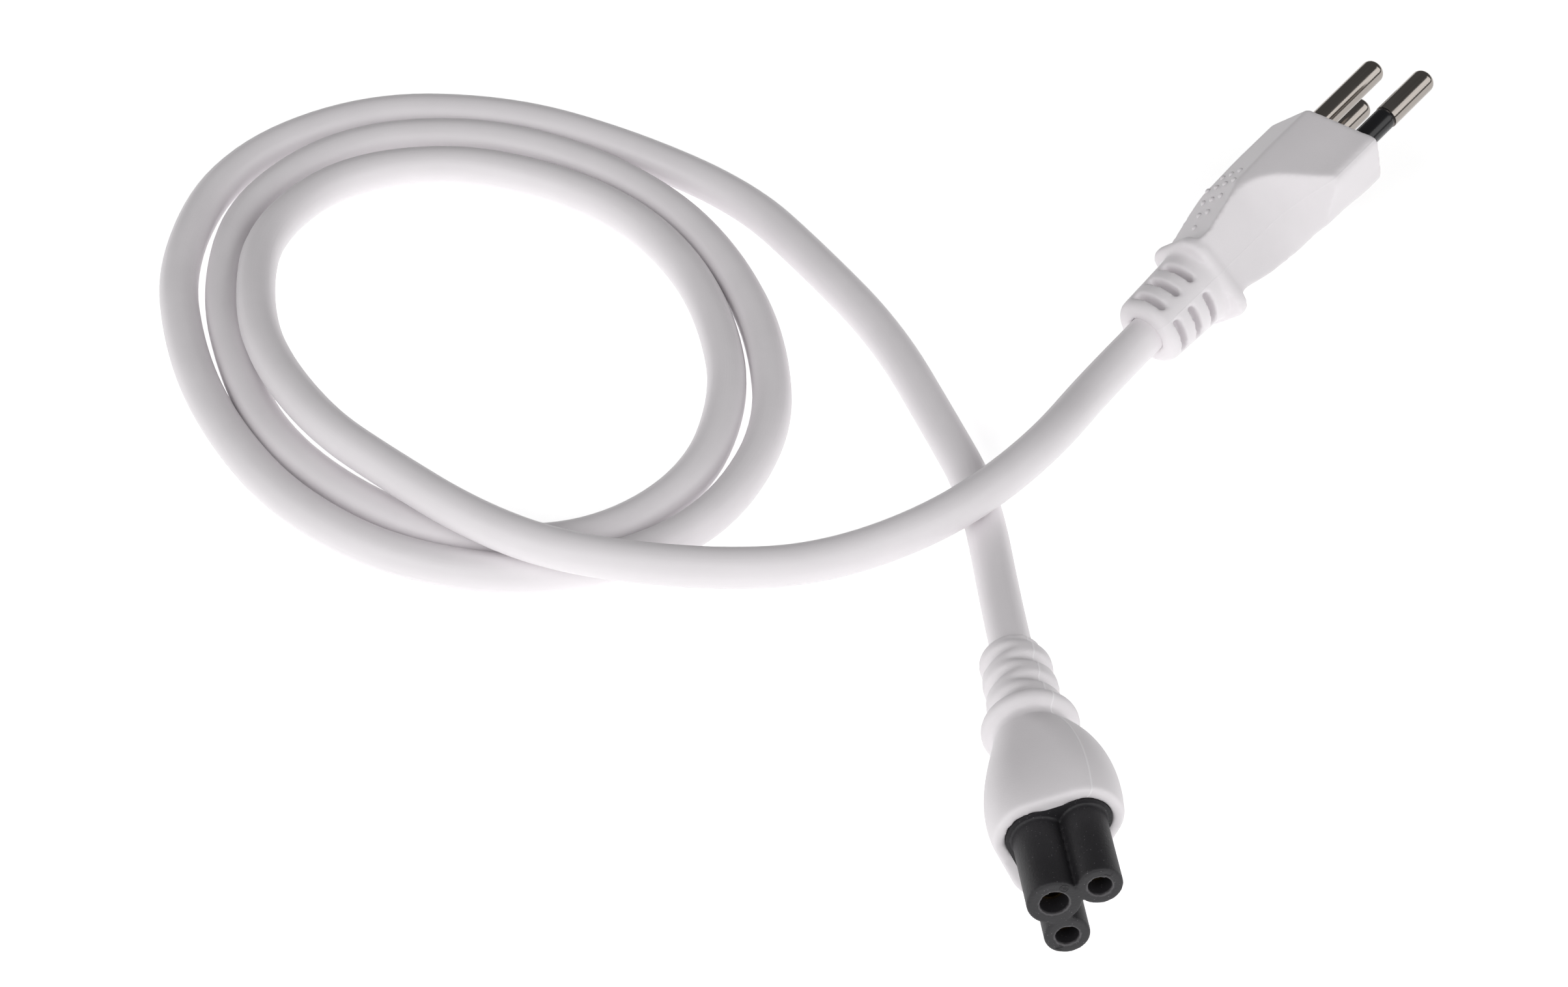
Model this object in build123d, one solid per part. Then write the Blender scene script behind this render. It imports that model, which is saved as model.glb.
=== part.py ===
from build123d import *
import os
from math import cos, pi, radians, sin, tan

# A moulded mains lead as it lies on a table: a three-pin plug, about one metre of round
# flex in a loose flat coil, and a three-lobed appliance connector. Millimetres, +Z up.
# The origin is on the table, under the middle of the plug and the connector.

# Flex
cord_diameter = 6.3
core_diameter = 2.2
core_ring_radius = 1.45
core_bend = 3.0

# Plug pins, in the plug's own frame: Z points out of the face and the earth pin is at +Y
pin_diameter = 4.0
pin_reach = 19.0
pin_tip_round = 1.4
pin_root_diameter = 3.6
pin_root_depth = 0.1
line_pin_spacing = 19.0
earth_pin_offset = 5.0
pin_collar_diameter = 5.0
pin_collar_thickness = 1.4
pin_crimp_diameter = 3.4
pin_crimp_length = 3.5
sleeve_reach = 8.0
sleeve_wall = 0.4
sleeve_set_back = 0.1
sleeve_nose_length = 0.7
sleeve_nose_drop = 0.15

# Bridge that holds the pins inside the plug
bridge_depth = 1.6
bridge_thickness = 4.4
bridge_wall = 0.5

# Plug moulding
head_half_width = 16.2
head_earth_height = 8.7
head_earth_half_width = 5.5
head_far_height = 6.3
head_far_half_width = 10.45
head_corner_round = 1.2
head_face_round = 0.5
head_side_length = 10.5
shoulder_length = 6.0
shoulder_round = 8.0
waist_half_width = 6.5
waist_earth_height = 6.4
waist_far_height = 4.6
earth_slope_start = 19.0
earth_slope_end = 29.0
far_slope_start = 12.0
waist_end = 31.4
flange_width = 13.6
flange_height = 15.4
flange_thickness = 2.1
flange_corner_round = 3.2
flange_edge_round = 0.6
relief_base_radius = 6.5
relief_tip_radius = 5.9
relief_length = 13.0
relief_tip_round = 1.5
slot_rows = 3
slots_per_row = 4
slot_width = 1.3
slot_arc = 66.0
slot_turn = 37.0
slot_depth = 2.1
slot_first = 2.7
slot_pitch = 3.5
plug_cord_grip = 10.5
plug_core_straight = 1.5
plug_core_join = 20.5

# Connector, in its own frame: Z points out of the barrel fronts and the earth barrel is at +Y
contact_spacing = 9.66
earth_contact_offset = 4.5
contact_row_drop = 1.5
line_barrel_radius = 3.2
earth_barrel_radius = 3.8
barrel_length = 13.0
barrel_front_round = 0.3
entry_depth = 3.0
line_socket_radius = 1.25
earth_socket_radius = 1.6
contact_wall = 0.35
contact_clearance = 0.05
contact_length = 9.0
contact_slit = 0.5
contact_slit_length = 6.5
contact_crimp_length = 15.0
insert_margin = 0.8
insert_base_length = 11.0
rim_wall = 1.7
rim_round = 0.6
belly_distance = 6.0
belly_swell = 0.4
taper_distance = 14.0
taper_spread = 0.72
taper_radius = 5.9
neck_distance = 20.5
neck_spread = 0.06
neck_radius = 5.8
bead_distance = 23.8
bead_radius = 7.2
bead_thickness = 2.8
sheath_relief_length = 39.5
sheath_relief_tip_radius = 5.2
sheath_relief_tip_round = 1.2
groove_rows = 3
groove_first = 27.0
groove_pitch = 4.6
groove_radius = 1.15
groove_depth = 1.1
groove_reach = 105.0
groove_turn = 130.0
connector_cord_grip = 10.5
connector_core_straight = 1.5
connector_core_join = 9.0

# How the plug and the connector lie: place on the table, heading, tip up and roll, in degrees
plug_spot = (21.5, 68.3)
plug_heading = 47.6
plug_pitch = 9.4
plug_roll = 131.25
connector_spot = (-27.4, -86.9)
connector_heading = -83.6
connector_pitch = 7.0
connector_roll = -115.6

# Flex route: straight out of each end, hand-chosen points, and a flat coil between them
exit_straight = 9.5
plug_tail_points = [
    (-27.8, 4.4, 10.2),
    (-42.9, -9.1, 10.2),
    (-62.3, -15.9, 6.6),
    (-79.7, -19.1, 8.2),
    (-97.0, -16.8, 10.0),
    (-112.7, -9.7, 10.0),
    (-126.6, -0.1, 10.0),
    (-137.4, 11.2, 9.8),
    (-145.8, 29.0, 6.6),
]
connector_tail_points = [
    (-72.8, 70.8, cord_diameter / 2),
    (-61.5, 57.0, cord_diameter / 2),
    (-49.7, 37.2, cord_diameter / 2),
    (-41.5, 17.4, cord_diameter / 2),
    (-36.7, 0.8, cord_diameter / 2),
]
coil_centre = (-115.4, 38.3)
coil_first_radius = 36.0
coil_turn_gap = 1.4
coil_turn_drift = 0.55
coil_stretch = 6.7
coil_stretch_angle = 123.5
coil_start_angle = 174.0
coil_sweep = 830.0
coil_steps = 34

# Places worked out from the sizes above
cord_radius = cord_diameter / 2
pin_radius = pin_diameter / 2
sleeve_radius = pin_radius - sleeve_set_back
bridge_back = bridge_depth + bridge_thickness
pin_back = bridge_back + pin_crimp_length
flange_back = waist_end + flange_thickness
plug_end = flange_back + relief_length
plug_cord_start = plug_end - plug_cord_grip
line_pin_spot = (line_pin_spacing / 2, 0)
neutral_pin_spot = (-line_pin_spacing / 2, 0)
earth_pin_spot = (0, earth_pin_offset)
line_contact_spot = (contact_spacing / 2, -contact_row_drop)
neutral_contact_spot = (-contact_spacing / 2, -contact_row_drop)
earth_contact_spot = (0, earth_contact_offset - contact_row_drop)
insert_back = barrel_length + insert_base_length
contact_back = entry_depth + contact_length + contact_crimp_length
connector_end = barrel_length + sheath_relief_length
connector_cord_start = connector_end - connector_cord_grip


def lying(spot, heading, pitch, roll, outer):
    """Place a piece whose own Z runs along the heading, tipped and rolled, with its lowest point on the table."""
    along = Vector(1, 0, 0).rotate(Axis.Y, -pitch).rotate(Axis.Z, heading)
    side = Vector(0, -1, 0).rotate(Axis.Z, heading)
    across = side.rotate(Axis((0, 0, 0), along), roll)
    turned = Plane((spot[0], spot[1], 0), x_dir=across, z_dir=along).location
    drop = (turned * outer).bounding_box().min.Z
    return Location((0, 0, -drop)) * turned


def ring_spot(angle):
    """Where a core lies in the flex, at this angle round its middle."""
    return (core_ring_radius * cos(radians(angle)), core_ring_radius * sin(radians(angle)))


def turned_piece(profile):
    """A piece turned about Z from (radius, z) points."""
    return revolve(Plane.XZ * make_face(Polyline(*profile, close=True)), Axis.Z)


def tube(path, diameter):
    """A round solid along a path."""
    section = Plane(path @ 0, z_dir=path % 0) * Circle(diameter / 2)
    return sweep(section, path=path)


def core_end(start, start_depth, straight, join_depth, end_depth, angle):
    """One stripped core from the back of a pin or contact to its place in the end of the flex."""
    ring = ring_spot(angle)
    path = FilletPolyline(
        (*start, -start_depth),
        (*start, -start_depth - straight),
        (*ring, -join_depth),
        (*ring, -end_depth),
        radius=core_bend,
    )
    return tube(path, core_diameter)


# Plug pieces


def pin(spot, sleeved):
    """A round pin with a narrow root, a collar that the bridge grips, a crimp behind it and a rounded tip."""
    collar = pin_collar_diameter / 2
    crimp = pin_crimp_diameter / 2
    root = pin_root_diameter / 2
    collar_back = bridge_back - (bridge_thickness - pin_collar_thickness) / 2
    seat = sleeve_radius - sleeve_wall
    sleeve_seat = [(root, -bridge_depth), (seat, -bridge_depth), (seat, sleeve_reach), (pin_radius, sleeve_reach)]
    bare_root = [(root, -pin_root_depth), (pin_radius, -pin_root_depth)]
    profile = [
        (0, -pin_back),
        (crimp, -pin_back),
        (crimp, -bridge_back),
        (root, -bridge_back),
        (root, -collar_back),
        (collar, -collar_back),
        (collar, -collar_back + pin_collar_thickness),
        (root, -collar_back + pin_collar_thickness),
        *(sleeve_seat if sleeved else bare_root),
        (pin_radius, pin_reach),
        (0, pin_reach),
    ]
    solid = turned_piece(profile)
    tip = solid.edges().filter_by(GeomType.CIRCLE).sort_by(Axis.Z)[-1]
    return Pos(*spot, 0) * fillet(tip, pin_tip_round)


def pin_sleeve(spot):
    """A thin tube just under the pin's surface, from the bridge to partway along the pin, tapered at its front."""
    seat = sleeve_radius - sleeve_wall
    profile = [
        (seat, -bridge_depth),
        (sleeve_radius, -bridge_depth),
        (sleeve_radius, sleeve_reach - sleeve_nose_length),
        (sleeve_radius - sleeve_nose_drop, sleeve_reach),
        (seat, sleeve_reach),
    ]
    return Pos(*spot, 0) * turned_piece(profile)


def plug_shell():
    """The outside of the plug moulding: head, waist, flange and strain relief."""
    hexagon = make_face(
        Polyline(
            (head_half_width, 0),
            (head_earth_half_width, head_earth_height),
            (-head_earth_half_width, head_earth_height),
            (-head_half_width, 0),
            (-head_far_half_width, -head_far_height),
            (head_far_half_width, -head_far_height),
            close=True,
        )
    )
    hexagon = fillet(hexagon.vertices(), head_corner_round)
    prism = extrude(hexagon, -waist_end)
    prism = fillet(prism.faces().sort_by(Axis.Z)[-1].edges(), head_face_round)

    shoulder_end = head_side_length + shoulder_length
    half_plan = [
        (head_half_width, 0),
        (head_half_width, -head_side_length),
        (waist_half_width, -shoulder_end),
        (waist_half_width, -waist_end),
    ]
    plan = make_face(Polyline(*half_plan, *[(-x, z) for x, z in reversed(half_plan)], close=True))
    inner_corners = plan.vertices().group_by(Axis.Y)[1]
    plan = fillet(inner_corners, shoulder_round)
    side = make_face(
        Polyline(
            (head_earth_height, 0),
            (head_earth_height, -earth_slope_start),
            (waist_earth_height, -earth_slope_end),
            (waist_earth_height, -waist_end),
            (-waist_far_height, -waist_end),
            (-head_far_height, -far_slope_start),
            (-head_far_height, 0),
            close=True,
        )
    )
    grip = prism & extrude(Plane.XZ * plan, head_half_width, both=True)
    grip = grip & extrude(Plane.YZ * side, head_half_width, both=True)

    flange = extrude(RectangleRounded(flange_width, flange_height, flange_corner_round), flange_thickness)
    rims = flange.faces().filter_by(Axis.Z).edges()
    flange = Pos(0, 0, -flange_back) * fillet(rims, flange_edge_round)
    relief = turned_piece(
        [
            (0, -waist_end),
            (relief_base_radius, -waist_end),
            (relief_base_radius, -flange_back),
            (relief_tip_radius, -plug_end),
            (0, -plug_end),
        ]
    )
    tip = relief.edges().filter_by(GeomType.CIRCLE).sort_by(Axis.Z)[0]
    relief = fillet(tip, relief_tip_round)
    return grip + flange + relief


def relief_slots():
    """Rows of short arc slots round the plug's strain relief."""
    inner = relief_tip_radius - slot_depth
    outer = relief_base_radius + slot_depth
    bar = Plane.XZ * Pos((inner + outer) / 2, 0) * Rectangle(outer - inner, slot_width)
    arc = Rot(0, 0, -slot_arc / 2) * revolve(bar, Axis.Z, slot_arc)
    slots = []
    for row in range(slot_rows):
        height = -flange_back - slot_first - slot_width / 2 - row * slot_pitch
        for place in range(slots_per_row):
            turn = slot_turn + place * 360 / slots_per_row
            slots.append(Pos(0, 0, height) * Rot(0, 0, turn) * arc)
    return slots


line_pin = pin(line_pin_spot, True)
neutral_pin = pin(neutral_pin_spot, True)
earth_pin = pin(earth_pin_spot, False)
line_pin_sleeve = pin_sleeve(line_pin_spot)
neutral_pin_sleeve = pin_sleeve(neutral_pin_spot)
pins = [line_pin, neutral_pin, earth_pin]

bridge_radius = pin_collar_diameter / 2 + bridge_wall
bridge_circles = [Pos(*spot) * Circle(bridge_radius) for spot in (line_pin_spot, neutral_pin_spot, earth_pin_spot)]
bridge_outline = make_hull([circle.edges() for circle in bridge_circles])
pin_bridge = Pos(0, 0, -bridge_back) * extrude(bridge_outline, bridge_thickness)
pin_bridge = pin_bridge - pins

plug_core_places = {"brown": (line_pin_spot, -30), "blue": (neutral_pin_spot, 210), "green_yellow": (earth_pin_spot, 90)}
plug_cores = {
    colour: core_end(spot, pin_back, plug_core_straight, plug_core_join, plug_cord_start, angle)
    for colour, (spot, angle) in plug_core_places.items()
}

plug_outer = plug_shell()
plug_bore = Pos(0, 0, -plug_cord_start - plug_cord_grip / 2) * Cylinder(cord_radius, plug_cord_grip)
plug_body = plug_outer - relief_slots()
plug_body = plug_body - [plug_bore, pin_bridge, *pins, line_pin_sleeve, neutral_pin_sleeve, *plug_cores.values()]


# Connector pieces


def three_circles(line_radius, earth_radius, spread=1.0):
    """One circle at each contact, with the contacts drawn together by the spread."""
    spots = [line_contact_spot, neutral_contact_spot, earth_contact_spot]
    radii = [line_radius, line_radius, earth_radius]
    return [Pos(x * spread, y * spread) * Circle(r) for (x, y), r in zip(spots, radii)]


def body_section(distance, line_radius, earth_radius, spread):
    """Rounded triangle round the contacts, this far behind the rim."""
    outline = make_hull([circle.edges() for circle in three_circles(line_radius, earth_radius, spread)])
    return Pos(0, 0, -barrel_length - distance) * outline


def connector_shell():
    """The outside of the connector moulding: rim, taper, bead and strain relief."""
    rim = insert_margin + rim_wall
    line_rim = line_barrel_radius + rim
    earth_rim = earth_barrel_radius + rim
    body = loft(
        [
            body_section(0, line_rim, earth_rim, 1.0),
            body_section(belly_distance, line_rim + belly_swell, earth_rim + belly_swell, 1.0),
            body_section(taper_distance, taper_radius, taper_radius, taper_spread),
            body_section(neck_distance, neck_radius, neck_radius, neck_spread),
        ]
    )
    body = fillet(body.faces().sort_by(Axis.Z)[-1].edges(), rim_round)
    neck_z = -barrel_length - neck_distance
    bead_z = -barrel_length - bead_distance
    relief = turned_piece(
        [(0, neck_z), (neck_radius, neck_z), (sheath_relief_tip_radius, -connector_end), (0, -connector_end)]
    )
    tip = relief.edges().filter_by(GeomType.CIRCLE).sort_by(Axis.Z)[0]
    relief = fillet(tip, sheath_relief_tip_round)
    bead = Pos(0, 0, bead_z) * Torus(bead_radius - bead_thickness / 2, bead_thickness / 2)
    return body + relief + bead


def crescent_grooves():
    """Grooves that run off to nothing, by turns on one side of the strain relief and on the other."""
    shift = groove_depth / (1 - cos(radians(groove_reach)))
    grooves = []
    for row in range(groove_rows):
        for side in range(2):
            distance = groove_first + (row + side / 2) * groove_pitch
            along = (distance - neck_distance) / (sheath_relief_length - neck_distance)
            surface = neck_radius + (sheath_relief_tip_radius - neck_radius) * along
            ring = Torus(surface - groove_depth + shift + groove_radius, groove_radius)
            turn = Rot(0, 0, groove_turn + 180 * side)
            grooves.append(Pos(0, 0, -barrel_length - distance) * turn * Pos(-shift, 0, 0) * ring)
    return grooves


def contact(spot, socket_radius):
    """A split tube that takes a pin, with a crimp behind it."""
    outer = socket_radius + contact_wall
    front = -entry_depth
    tube_back = front - contact_length
    back = -contact_back
    crimp = core_diameter / 2 + contact_wall
    solid = turned_piece(
        [
            (socket_radius, front),
            (outer, front),
            (outer, tube_back),
            (crimp, tube_back),
            (crimp, back),
            (0, back),
            (0, tube_back),
            (socket_radius, tube_back),
        ]
    )
    slit = Pos(0, outer, front - contact_slit_length / 2) * Box(contact_slit, 2 * outer, contact_slit_length)
    return Pos(*spot, 0) * (solid - slit)


def contact_hole(spot, socket_radius):
    """The straight hole through the insert that a contact slides into from the back."""
    hole_radius = socket_radius + contact_wall + contact_clearance
    return Pos(*spot, -insert_back / 2) * Cylinder(hole_radius, insert_back)


line_contact = contact(line_contact_spot, line_socket_radius)
neutral_contact = contact(neutral_contact_spot, line_socket_radius)
earth_contact = contact(earth_contact_spot, earth_socket_radius)
contacts = [line_contact, neutral_contact, earth_contact]

barrel_outline = Sketch() + three_circles(line_barrel_radius, earth_barrel_radius)
barrels = Pos(0, 0, -barrel_length) * extrude(barrel_outline, barrel_length)
barrels = fillet(barrels.faces().sort_by(Axis.Z)[-1].edges(), barrel_front_round)
base_outline = Sketch() + three_circles(line_barrel_radius + insert_margin, earth_barrel_radius + insert_margin)
insert_outer = barrels + Pos(0, 0, -insert_back) * extrude(base_outline, insert_base_length)
contact_insert = insert_outer - [
    contact_hole(line_contact_spot, line_socket_radius),
    contact_hole(neutral_contact_spot, line_socket_radius),
    contact_hole(earth_contact_spot, earth_socket_radius),
]

connector_core_places = {
    "brown": (line_contact_spot, -30),
    "blue": (neutral_contact_spot, 210),
    "green_yellow": (earth_contact_spot, 90),
}
connector_cores = {
    colour: core_end(
        spot,
        contact_back,
        connector_core_straight,
        contact_back + connector_core_join,
        connector_cord_start,
        angle,
    )
    for colour, (spot, angle) in connector_core_places.items()
}

connector_outer = connector_shell()
connector_bore = Pos(0, 0, -connector_cord_start - connector_cord_grip / 2)
connector_bore = connector_bore * Cylinder(cord_radius, connector_cord_grip)
connector_body = connector_outer - crescent_grooves()
connector_body = connector_body - [connector_bore, insert_outer, *contacts, *connector_cores.values()]


# Where the two ends lie

plug_place = lying(plug_spot, plug_heading, plug_pitch, plug_roll, plug_outer)
connector_place = lying(connector_spot, connector_heading, connector_pitch, connector_roll, connector_outer)


# Flex


def on_axis(place, depth):
    """The point this far behind a plug or connector face, on its axis."""
    return (place * Pos(0, 0, -depth)).position


def coil_point(step):
    """A point of the flat coil: a spiral, one flex and one gap wider each turn, drawn out one way and drifting in X."""
    angle = coil_start_angle - coil_sweep * step / coil_steps
    turns = (180 - angle) / 360
    radius = coil_first_radius + turns * (cord_diameter + coil_turn_gap)
    radius += coil_stretch * cos(2 * radians(angle - coil_stretch_angle))
    x = coil_centre[0] + turns * coil_turn_drift + radius * cos(radians(angle))
    y = coil_centre[1] + radius * sin(radians(angle))
    return Vector(x, y, cord_radius)


def corner_radius(before, corner, after):
    """The largest arc that the two runs at a corner leave room for."""
    run_in = corner - before
    run_out = after - corner
    half_turn = radians(run_in.get_angle(run_out)) / 2
    return 0.45 * min(run_in.length, run_out.length) / tan(half_turn)


plug_tail = [on_axis(plug_place, plug_cord_start), on_axis(plug_place, plug_end + exit_straight)]
plug_tail += [Vector(*point) for point in plug_tail_points]
coil = [coil_point(step) for step in range(coil_steps + 1)]
connector_tail = [Vector(*point) for point in connector_tail_points]
connector_tail += [on_axis(connector_place, connector_end + exit_straight)]
connector_tail += [on_axis(connector_place, connector_cord_start)]

route = plug_tail + coil + connector_tail
radii = [corner_radius(*route[i - 1 : i + 2]) for i in range(1, len(route) - 1)]
coil_start = (plug_tail[-1] + coil[0]) / 2
coil_end = (coil[-1] + connector_tail[0]) / 2
first_coil = len(plug_tail) - 1
last_coil = first_coil + len(coil)
plug_tail_path = FilletPolyline(*plug_tail, coil_start, radius=radii[:first_coil])
coil_path = FilletPolyline(coil_start, *coil, coil_end, radius=radii[first_coil:last_coil])
connector_tail_path = FilletPolyline(coil_end, *connector_tail, radius=radii[last_coil:])

cord_plug_tail = tube(plug_tail_path, cord_diameter)
cord_coil = tube(coil_path, cord_diameter)
cord_connector_tail = tube(connector_tail_path, cord_diameter)


# Check figures and files

section_area = pi * cord_radius**2
print("corner radii", [round(radius, 1) for radius in radii])
total = 0
for name, path, solid in (
    ("cord_plug_tail", plug_tail_path, cord_plug_tail),
    ("cord_coil", coil_path, cord_coil),
    ("cord_connector_tail", connector_tail_path, cord_connector_tail),
):
    total += path.length
    print(name, "length", round(path.length, 1), "volume over section times length",
          round(solid.volume / (section_area * path.length), 5))
print("flex length", round(total, 1))

plug_pieces = {
    "plug_body": plug_body,
    "pin_bridge": pin_bridge,
    "line_pin": line_pin,
    "neutral_pin": neutral_pin,
    "earth_pin": earth_pin,
    "line_pin_sleeve": line_pin_sleeve,
    "neutral_pin_sleeve": neutral_pin_sleeve,
    **{f"plug_{colour}_core": core for colour, core in plug_cores.items()},
}
connector_pieces = {
    "connector_body": connector_body,
    "contact_insert": contact_insert,
    "line_contact": line_contact,
    "neutral_contact": neutral_contact,
    "earth_contact": earth_contact,
    **{f"connector_{colour}_core": core for colour, core in connector_cores.items()},
}
pieces = {
    **{name: plug_place * piece for name, piece in plug_pieces.items()},
    **{name: connector_place * piece for name, piece in connector_pieces.items()},
    "cord_plug_tail": cord_plug_tail,
    "cord_coil": cord_coil,
    "cord_connector_tail": cord_connector_tail,
}
os.makedirs("parts", exist_ok=True)
for name, piece in pieces.items():
    export_step(piece, f"parts/{name}.step")
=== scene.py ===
# %% [markdown]
# # A white mains lead with a cloverleaf connector
# The lead lies on a pale table: a moulded plug with three round pins, about a metre of white flex in a
# loose flat coil, and a three-lobed connector with a black front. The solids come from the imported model,
# which is the fixed frame. Everything made here is in metres, in that same frame.

# %% Load the solids
from math import cos, pi, radians, sin

import bmesh
import bpy
from mathutils import Matrix, Vector


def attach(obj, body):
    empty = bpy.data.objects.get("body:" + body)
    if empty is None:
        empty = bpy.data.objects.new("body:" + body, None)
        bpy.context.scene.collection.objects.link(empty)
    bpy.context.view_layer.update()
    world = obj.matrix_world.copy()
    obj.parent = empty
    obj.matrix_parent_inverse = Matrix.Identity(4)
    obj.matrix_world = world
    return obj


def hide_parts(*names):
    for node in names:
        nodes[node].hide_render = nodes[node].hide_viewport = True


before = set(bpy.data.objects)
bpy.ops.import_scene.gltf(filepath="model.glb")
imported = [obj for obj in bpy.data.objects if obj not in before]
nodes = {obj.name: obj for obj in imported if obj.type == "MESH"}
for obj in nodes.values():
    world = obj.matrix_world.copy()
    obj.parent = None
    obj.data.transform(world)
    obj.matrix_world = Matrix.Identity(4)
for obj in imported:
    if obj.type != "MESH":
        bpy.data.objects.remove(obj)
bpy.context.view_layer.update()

scene = bpy.context.scene
MM = 0.001
print("solids loaded:", len(nodes))

# %% [markdown]
# ## Where the two ends lie
# The plug and the connector each lie tipped and rolled on the table, so a pattern or a detail on them is
# easiest to give in the end's own frame: Z out of its front, Y towards its earth contact. A matrix for each
# end turns that into places in the scene.

# %% The frames of the two ends
plug_spot = Vector((21.5, 68.3, 14.136)) * MM
plug_heading, plug_pitch, plug_roll = 47.6, 9.4, 131.25
plug_length = 46.5 * MM
connector_spot = Vector((-27.4, -86.9, 13.415)) * MM
connector_heading, connector_pitch, connector_roll = -83.6, 7.0, -115.6
connector_length = 52.5 * MM


def lying(spot, heading, pitch, roll):
    """The frame of an end that points along a heading, tipped up and rolled about its own axis."""
    level, turn = radians(pitch), radians(heading)
    along = Vector((cos(level) * cos(turn), cos(level) * sin(turn), sin(level)))
    side = Vector((sin(turn), -cos(turn), 0))
    across = Matrix.Rotation(radians(roll), 3, along) @ side
    placed = Matrix((across, along.cross(across), along)).transposed().to_4x4()
    placed.translation = spot
    return placed


plug_frame = lying(plug_spot, plug_heading, plug_pitch, plug_roll)
connector_frame = lying(connector_spot, connector_heading, connector_pitch, connector_roll)
print("plug points along", [round(x, 3) for x in plug_frame.col[2][:3]])
print("connector points along", [round(x, 3) for x in connector_frame.col[2][:3]])

# %% [markdown]
# ## The camera
# The picture was taken from above and in front, looking down at half a right angle with a long lens. The
# lens length follows from the focal length in pixels over the picture's width.

# %% Camera
picture_width = 2408
focal_pixels = 6000
camera_place = Vector((-66.5, -419.65, 425.3)) * MM
camera_tilt = radians(45)
lens = bpy.data.cameras.new("camera")
lens.sensor_width = 36
lens.lens = lens.sensor_width * focal_pixels / picture_width
lens.clip_start, lens.clip_end = 0.01, 20
camera = bpy.data.objects.new("camera", lens)
camera.location = camera_place
camera.rotation_euler = (camera_tilt, 0, 0)
scene.collection.objects.link(camera)
scene.camera = camera
print("lens", round(lens.lens, 1), "mm")

# %% [markdown]
# ## The flex
# A real flex is one smooth piece, so it is one curve. Its control points are the route's own points:
# straight out of the plug, over the coil's lower strands, round the flat coil, and straight into the
# connector. A curve of order 3 runs smoothly inside those points, as a stiff lead does, so the coil's points
# stand out a little further than the coil itself. A lead that was laid down by hand is never quite round: the
# coil is drawn out one way, more with each turn, with one soft corner that fades and four faint flats. A few
# points are nudged out or in, and the first ones lifted, where the flex comes down from the crossing. The
# thickness is given as each point's radius, with a bevel depth of one, because Blender takes the points'
# radius into the curve's box.

# %% The route of the flex
cord_diameter = 6.3 * MM
cord_radius = cord_diameter / 2
exit_straight = 9.5 * MM
cord_grip = 10.5 * MM
plug_tail_mm = [
    (-28, 4, 10.2),
    (-43, -10.5, 10.2),
    (-61, -16, 6.6),
    (-78.5, -18.5, 8.2),
    (-99, -17, 10),
    (-113, -10, 10),
    (-126.5, 1, 10),
    (-137.5, 11, 9.8),
    (-147.5, 28, 8),
]
connector_tail_mm = [(-73, 71.5), (-62, 56.5), (-50, 38), (-42, 17), (-36.5, 2)]
coil_centre = Vector((-114.5, 39)) * MM
coil_first_radius = 37 * MM
coil_turn_gap = 0.6 * MM
coil_stretch, coil_stretch_growth, coil_stretch_angle = 6.5 * MM, 0.4 * MM, 123
coil_corner, coil_corner_fade, coil_corner_angle = 1.4 * MM, 0.45 * MM, 41
coil_flats, coil_flats_angle = 0.8 * MM, 35
first_turn_nudges_mm = {1: -0.8, 2: -0.5, 7: 0.6, 8: 0.5, 10: 0.7, 11: 1.5, 12: 2.4, 13: 2.6}
second_turn_nudges_mm = {15: -1.4, 16: -0.4, 22: 0.5, 23: 0.8, 26: 1.7, 27: 2.4, 28: 1.1}
third_turn_nudges_mm = {31: 0.6, 32: -0.7, 33: -1.1}
coil_nudges_mm = first_turn_nudges_mm | second_turn_nudges_mm | third_turn_nudges_mm
coil_lifts_mm = {0: 3.8, 1: 2, 2: 0.8}
coil_start_angle = 174.0
coil_sweep = 830.0
coil_steps = 34
coil_fullness = 1 / cos(radians(coil_sweep / coil_steps / 2))


def on_axis(end_frame, depth):
    """The point this far behind an end's front, on its axis."""
    return end_frame @ Vector((0, 0, -depth))


def coil_point(step):
    """A point of the flat coil, one flex and one gap wider each turn, and not quite round."""
    angle = coil_start_angle - coil_sweep * step / coil_steps
    turns = (180 - angle) / 360
    radius = coil_first_radius + turns * (cord_diameter + coil_turn_gap)
    radius += (coil_stretch + turns * coil_stretch_growth) * cos(2 * radians(angle - coil_stretch_angle))
    radius += (coil_corner - turns * coil_corner_fade) * cos(3 * radians(angle - coil_corner_angle))
    radius += coil_flats * cos(4 * radians(angle - coil_flats_angle))
    radius = radius * coil_fullness + coil_nudges_mm.get(step, 0) * MM
    place = coil_centre + radius * Vector((cos(radians(angle)), sin(radians(angle))))
    return Vector((*place, cord_radius + coil_lifts_mm.get(step, 0) * MM))


route = [on_axis(plug_frame, plug_length - cord_grip), on_axis(plug_frame, plug_length + exit_straight)]
route += [Vector(point) * MM for point in plug_tail_mm]
route += [coil_point(step) for step in range(coil_steps + 1)]
route += [Vector((x * MM, y * MM, cord_radius)) for x, y in connector_tail_mm]
route += [on_axis(connector_frame, connector_length + exit_straight)]
route += [on_axis(connector_frame, connector_length - cord_grip)]
print("route points", len(route))

# %% The flex as one smooth curve
flex_curve = bpy.data.curves.new("flex", "CURVE")
flex_curve.dimensions = "3D"
spline = flex_curve.splines.new("NURBS")
spline.points.add(len(route) - 1)
for point, place in zip(spline.points, route):
    point.co = (*place, 1)
    point.radius = cord_radius
spline.order_u = 3
spline.use_endpoint_u = True
spline.resolution_u = 10
flex_curve.bevel_depth = 1.0
flex_curve.bevel_resolution = 7
flex_curve.use_fill_caps = True
flex = bpy.data.objects.new("flex", flex_curve)
scene.collection.objects.link(flex)
flex_length = spline.calc_length()
print("flex length", round(flex_length, 4), "m")

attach(flex, "root")
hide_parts("cord_plug_tail", "cord_coil", "cord_connector_tail")

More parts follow.
